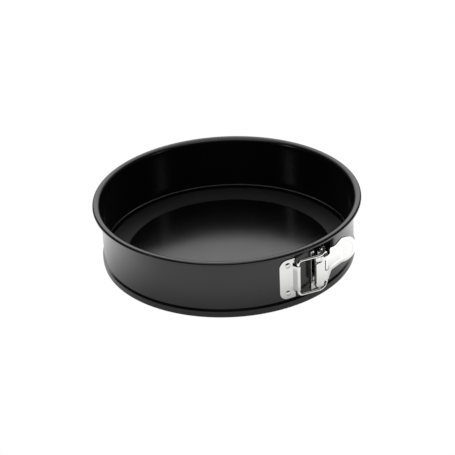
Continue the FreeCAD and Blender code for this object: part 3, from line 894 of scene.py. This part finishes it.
def bail_line(clasp):
    """Closed middle line of the bail: two upright legs joined by two bowed runs."""
    out, back = (BOW - STRIKE).normalized(), (HOOK - BOW).normalized()
    near, far = 4 * MM, 5.5 * MM
    plan = bent([(*STRIKE, 0), (*BOW, 9 * MM), (*HOOK, 0)], 16)
    half = clasp.bail_height / 2
    low, high = clasp.middle - half, clasp.middle + half
    steps = [pi / 2 * k / 10 for k in range(11)]

    def corner(leg, direction, radius, level, sign):
        """Quarter bend from a leg into the run at a level; sign is 1 for the upper one."""
        return [Vector((*(leg + direction * radius * (1 - cos(a))),
                        level - sign * radius * (1 - sin(a)))) for a in steps]

    upper = corner(STRIKE, out, near, high, 1) + [Vector((*p, high)) for p in plan[1:-1]]
    upper += corner(HOOK, -back, far, high, 1)[::-1]
    lower = corner(HOOK, -back, far, low, -1) + [Vector((*p, low)) for p in plan[-2:0:-1]]
    lower += corner(STRIKE, out, near, low, -1)[::-1]
    line = thinned(upper + lower + upper[:1])
    return divided(line, 3 * MM)[:-1]


class PAN_OT_bail(Operator):
    """Bend the wire bail that draws the seam together"""
    bl_idname = "springform.bail"
    bl_label = "Bail"

    def execute(self, context):
        _, clasp, finishes = settings(context)
        piece = chain("bail_wire", bail_line(clasp), closed=True)
        Tree.apply(piece, round_wire_tree(), radius=clasp.wire_radius, sides=WIRE_SIDES,
                   material=finish("plated_wire", finishes))
        piece = settled(piece, "bail_wire")
        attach(piece, "bail")
        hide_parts("bail")
        return {"FINISHED"}


def lever_plan(clasp):
    """Middle line of the lever's plate in plan, from its left edge to the grip's tip."""
    wrap = clasp.pin_radius + PLAY + clasp.bracket_sheet
    plate_y = PIVOT.y - wrap - 0.25 * MM - clasp.lever_sheet / 2
    neck, grip = radians(21), radians(-9)
    bend = Vector((15.5 * MM, plate_y))
    knee = bend + Vector((cos(neck), sin(neck))) * 30 * MM
    tip = knee + Vector((cos(grip), sin(grip))) * 17.2 * MM
    return [(PIVOT.x - PLATE_OVERHANG, plate_y, 0), (*bend, 8 * MM), (*knee, 8 * MM), (*tip, 0)]


def depth_along(line, x):
    """Y of a line in plan at an x position."""
    for start, end in zip(line, line[1:]):
        if x <= end.x or end is line[-1]:
            part = (x - start.x) / max(end.x - start.x, 1e-9)
            return start.y + (end.y - start.y) * part


def lever_corners(clasp, tip):
    """Front view of the lever's plate as (x, height, corner radius)."""
    m = clasp.middle
    low, high = m - 12 * MM, m + 15 * MM
    left, ear, knuckle = PIVOT.x - PLATE_OVERHANG, PIVOT.x + EAR_REACH, m + 10.8 * MM
    grip, reach = m + 5.8 * MM, 13.8 * MM
    crest, tip_bend, shoulder = tip - 17.3 * MM, reach - 0.05 * MM, 20.4 * MM
    return [
        (left, low, 1 * MM), (17 * MM, low, 3 * MM), (22 * MM, m - 4.9 * MM, 4 * MM),
        (crest, grip - reach, 16 * MM), (tip, grip - reach, tip_bend),
        (tip, grip + reach, tip_bend), (crest, grip + reach, 12 * MM),
        (30 * MM, m + 17.8 * MM, 16 * MM),
        (shoulder, m + 21.2 * MM, 1.2 * MM), (shoulder, high, 0.6 * MM), (ear, high, 0),
        (ear, knuckle, 0), (left, knuckle, 0.8 * MM)]


def outline_distance(outline, point):
    """Shortest distance from a point to a closed outline."""
    best = inf
    for start, end in zip(outline, outline[1:] + outline[:1]):
        run = end - start
        part = max(0.0, min(1.0, (point - start).dot(run) / max(run.length_squared, 1e-18)))
        best = min(best, (start + run * part - point).length)
    return best


def lever_slit(clasp):
    """Outline of the J-shaped slit in the lever's plate."""
    m, wide, bend = clasp.middle, 1.0 * MM, 1.6 * MM
    left, right, bottom = 12.7 * MM, 17.3 * MM, m - 0.8 * MM
    line = bent([(left, m + 11 * MM, 0), (left, bottom, bend), (right, bottom, bend),
                 (right + wide, bottom + 3 * MM, 0)])
    sides = [], []
    for i, point in enumerate(line):
        before, after = line[max(i - 1, 0)], line[min(i + 1, len(line) - 1)]
        heading = (after - before).normalized()
        for side, sign in zip(sides, (1, -1)):
            side.append(point + Vector((-heading.y, heading.x)) * (sign * wide / 2))
    return sides[0] + sides[1][::-1]


def lever_face(clasp, plan, plated):
    """The lever's plate: bent along its plan, with a ridge pressed just inside its edge."""
    line = bent(plan, 14)
    outline = rounded(lever_corners(clasp, plan[-1][0]), 24)
    bm = blank(outline, 0.6 * MM, 0.8 * MM)
    for vertex in bm.verts:
        x, z = vertex.co.x, vertex.co.z
        inset = outline_distance(outline, Vector((x, z)))
        ridge = exp(-((inset - RIDGE_INSET) / RIDGE_WIDTH) ** 2)
        along = min(1.0, max(0.0, (x - RIDGE_START) / RIDGE_RISE))
        vertex.co.y = depth_along(line, x) - clasp.emboss * ridge * along
    return pressed("plate", bm, clasp.lever_sheet, 0, plated)


def slit_cutter(clasp):
    """Block in the shape of the lever's slit, deeper than the plate."""
    front, depth = -0.15, 0.05
    bm = bmesh.new()
    face = bm.faces.new([bm.verts.new((point.x, front, point.y)) for point in lever_slit(clasp)])
    extruded = bmesh.ops.extrude_face_region(bm, geom=[face])["geom"]
    bmesh.ops.translate(bm, verts=[v for v in extruded if isinstance(v, bmesh.types.BMVert)],
                        vec=(0, depth, 0))
    bmesh.ops.recalc_face_normals(bm, faces=bm.faces[:])
    return from_bmesh("slit", bm)


def ear_path(clasp, plate_y):
    """Path in plan of an ear: from the plate round the pin."""
    sheet = clasp.lever_sheet
    wrap, left, right, front, back = round_pin(clasp, sheet)
    root_y = plate_y - 0.01 * MM
    step = PIVOT.x + EAR_REACH + sheet / 2
    return [(PIVOT.x + 5.6 * MM, root_y, 0), (step, root_y, sheet),
            (step - 2.2 * MM, front, sheet), (left, front, wrap), (left, back, wrap),
            (right, back, wrap), (right, PIVOT.y - 0.4 * MM, 0)]


class PAN_OT_lever(Operator):
    """Press the lever's plate with its ridges, cut its slit and curl its ears round the pin"""
    bl_idname = "springform.lever"
    bl_label = "Lever"

    def execute(self, context):
        _, clasp, finishes = settings(context)
        plated = finish("bright_plate", finishes)
        plan = lever_plan(clasp)
        plate = lever_face(clasp, plan, plated)
        cutter = slit_cutter(clasp)
        cut = plate.modifiers.new("Slit", "BOOLEAN")
        cut.object = cutter
        cut.solver = "EXACT"
        ease(plate, LEVER_EDGE)
        pieces = [settled(plate, "plate")]
        discard(cutter)
        path = ear_path(clasp, plan[0][1])
        for low in (clasp.middle + UPPER_EAR, clasp.middle + LOWER_EAR):
            bm = strip(bent(path, 12), [low, low + EAR_HEIGHT / 2, low + EAR_HEIGHT])
            pieces.append(pressed("ear", bm, clasp.lever_sheet, LEVER_EDGE, plated))
        piece = joined(pieces, "lever_plate")
        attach(piece, "lever")
        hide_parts("lever")
        return {"FINISHED"}


# ---- stage ----

LAMPS = (  # name, place, size and share of the lamp power
    ("key_lamp", (-1.3, 0.29, 0.8), 0.16, 0.06),
    ("fill_lamp", (0.66, -1.16, 0.8), 0.16, 0.045),
    ("back_lamp", (0.97, 1.31, 1.15), 2.0, 1.0))

CAMERA_BEARING, CAMERA_DISTANCE, CAMERA_HEIGHT = radians(36.45), 1.2768, 0.7498
CAMERA_TURN, CAMERA_TILT, CAMERA_ROLL = [radians(a) for a in (36.425, 29.559, 2.763)]
CAMERA_LENS, CAMERA_SENSOR, CAMERA_REACH = 111.27, 36.0, 20

FLOOR_HALF = 4.0
FLOOR_LEVEL = -0.02 * MM
FLOOR_PAINT = (0.9, 0.9, 0.9, 1)
SOFT_LIGHT = 0.7  # strength of the studio's light on all but gloss

# Brightness as gloss sees it: each ramp is the span it crosses and its levels before and after.
ACROSS = (0.804, -0.594, 0.0)  # level, to the camera's right
AWAY = (0.713, 0.965, 0.0)  # level, away from the camera
HIGH_BACK = (0.297, 0.402, 1.0)  # up and a little away from the camera
# Painted on the floor: shade by the pan's foot, a pool of light behind it, shade far out.
PAINTED_FOOT_SHADE = (0.118, 0.2), (0.4, 1.0)
PAINTED_LIGHT_POOL = (-0.05, 0.18), (1.1, 1.9)
PAINTED_FAR_SHADE = (0.34, 0.6), (1.0, 0.15)
STUDIO_BACK = (0.3, 0.75), (0.04, 1.12)
STUDIO_FOOT = (0.1, 0.4), (0.12, 1.0)
STUDIO_SIDES = (0.2, 0.62), (1.1, 0.05)


class PAN_OT_stage(Operator):
    """Lay the floor, light the pan softly and set up the camera"""
    bl_idname = "springform.stage"
    bl_label = "Stage"

    def execute(self, context):
        scene, finishes = context.scene, context.scene.pan_finishes
        scene.view_settings.view_transform = "Standard"
        self.floor(finishes)
        self.world(scene, finishes)
        for name, place, size, portion in LAMPS:
            self.lamp(name, place, size, finishes.lamp_power * portion)
        self.camera(scene)
        return {"FINISHED"}

    @staticmethod
    def lamp(name, place, size, power):
        """Square lamp aimed at the pan's foot."""
        lamp = bpy.data.lights.new(name, "AREA")
        lamp.size = size
        lamp.energy = power
        holder = linked(name, lamp)
        holder.location = place
        holder.rotation_euler = (-Vector(place)).to_track_quat("-Z", "Y").to_euler()
        holder.visible_camera = False

    @staticmethod
    def camera(scene):
        camera = bpy.data.cameras.new("camera")
        camera.sensor_width = CAMERA_SENSOR
        camera.lens = CAMERA_LENS
        camera.clip_end = CAMERA_REACH
        camera.dof.use_dof = False
        holder = linked("camera", camera)
        holder.location = (-CAMERA_DISTANCE * sin(CAMERA_BEARING),
                           -CAMERA_DISTANCE * cos(CAMERA_BEARING), CAMERA_HEIGHT)
        aim = (Matrix.Rotation(-CAMERA_TURN, 4, "Z") @ Matrix.Rotation(-CAMERA_TILT, 4, "X")
               @ Matrix.Rotation(CAMERA_ROLL, 4, "Y") @ Matrix.Rotation(pi / 2, 4, "X"))
        holder.rotation_euler = aim.to_euler()
        scene.camera = holder

    @staticmethod
    def lit(tree, shaded, glow, mirrored):
        """Shader that shows glow to camera and glass, mirrored to gloss and shaded to the rest."""
        path = tree.node("ShaderNodeLightPath").outputs
        shader = shaded
        for ray, other in (("Is Glossy Ray", mirrored), ("Is Transmission Ray", glow),
                           ("Is Camera Ray", glow)):
            shader = tree.out("ShaderNodeMixShader", {0: path[ray], 1: shader, 2: other})
        return shader

    @staticmethod
    def painted_floor_shade_and_light(tree):
        """Painted floor brightness for gloss: shade by the pan, light pool behind, shade far out.
        """
        place = tree.place()
        far = tree.reach(place)
        aside = tree.math("ABSOLUTE", tree.along(place, ACROSS))
        back = tree.math("ADD", aside, tree.along(place, AWAY))
        return tree.eased((far, PAINTED_FOOT_SHADE), (back, PAINTED_LIGHT_POOL), (far, PAINTED_FAR_SHADE))

    @staticmethod
    def studio_gloss(tree):
        """Brightness of the studio as gloss sees it: white high at the back, dark elsewhere."""
        way = tree.place("Generated")
        back, rise = tree.along(way, HIGH_BACK), tree.split(way)["Z"]
        aside = tree.math("ABSOLUTE", tree.along(way, ACROSS))
        return tree.eased((back, STUDIO_BACK), (rise, STUDIO_FOOT), (aside, STUDIO_SIDES))

    def floor(self, finishes):
        """White floor that is clear from below; gloss sees painted shade and light on it."""
        bm = bmesh.new()
        bmesh.ops.create_grid(bm, x_segments=1, y_segments=1, size=FLOOR_HALF)
        for vertex in bm.verts:
            vertex.co.z = FLOOR_LEVEL
        floor = from_bmesh("floor", bm)
        material = bpy.data.materials.new("pale_floor")
        material.use_nodes = True
        material.node_tree.nodes.clear()
        tree = Shading(material.node_tree)
        paint = tree.out("ShaderNodeBsdfDiffuse", {"Color": FLOOR_PAINT})
        glow = tree.out("ShaderNodeEmission", {"Strength": finishes.backdrop})
        # painted shade by the pan and a painted pool of light, shown to gloss only
        gloss = tree.out("ShaderNodeEmission", {"Strength": self.painted_floor_shade_and_light(tree)})
        below = tree.node("ShaderNodeNewGeometry").outputs["Backfacing"]
        clear = tree.out("ShaderNodeBsdfTransparent")
        surface = tree.out("ShaderNodeMixShader", {
            0: below, 1: self.lit(tree, paint, glow, gloss), 2: clear})
        tree.node("ShaderNodeOutputMaterial", {0: surface})
        floor.data.materials.append(material)

    def world(self, scene, finishes):
        scene.world = bpy.data.worlds.new("studio")
        scene.world.use_nodes = True
        scene.world.node_tree.nodes.clear()
        tree = Shading(scene.world.node_tree)
        soft = tree.out("ShaderNodeBackground", {"Strength": SOFT_LIGHT})
        glow, gloss = [
            tree.out("ShaderNodeBackground", {"Color": (1, 1, 1, 1), "Strength": strength})
            for strength in (finishes.backdrop, self.studio_gloss(tree))]
        tree.node("ShaderNodeOutputWorld", {0: self.lit(tree, soft, glow, gloss)})


# ---- panel ----

class PAN_PT_sidebar(Panel):
    """Sizes, finishes and pieces of the springform pan"""
    bl_idname = "PAN_PT_sidebar"
    bl_label = "Springform Pan"
    bl_space_type = "VIEW_3D"
    bl_region_type = "UI"
    bl_category = "Springform"

    def draw(self, context):
        for title, group in zip(("Pan", "Clasp", "Finishes"), settings(context)):
            box = self.layout.box()
            box.label(text=title)
            for name in group.bl_rna.properties.keys():
                if name not in ("rna_type", "name"):
                    box.prop(group, name)
        for operator in OPERATORS:
            self.layout.operator(operator.bl_idname)


GROUPS = {"pan_sizes": PanSizes, "clasp_sizes": ClaspSizes, "pan_finishes": Finishes}
OPERATORS = (PAN_OT_stage, PAN_OT_base, PAN_OT_band, PAN_OT_strike, PAN_OT_bracket, PAN_OT_pin,
             PAN_OT_rivets, PAN_OT_bail, PAN_OT_lever)
CLASSES = (*GROUPS.values(), *OPERATORS, PAN_PT_sidebar)


def register():
    for cls in CLASSES:
        bpy.utils.register_class(cls)
    for name, group in GROUPS.items():
        setattr(bpy.types.Scene, name, bpy.props.PointerProperty(type=group))


def unregister():
    for name in GROUPS:
        delattr(bpy.types.Scene, name)
    for cls in reversed(CLASSES):
        bpy.utils.unregister_class(cls)


def main():
    register()
    bpy.ops.springform.stage()
    bpy.ops.springform.base()
    bpy.ops.springform.band()
    bpy.ops.springform.strike_plate()
    bpy.ops.springform.bracket()
    bpy.ops.springform.pivot_pin()
    bpy.ops.springform.rivets()
    bpy.ops.springform.bail()
    bpy.ops.springform.lever()


if __name__ == "__main__":
    main()
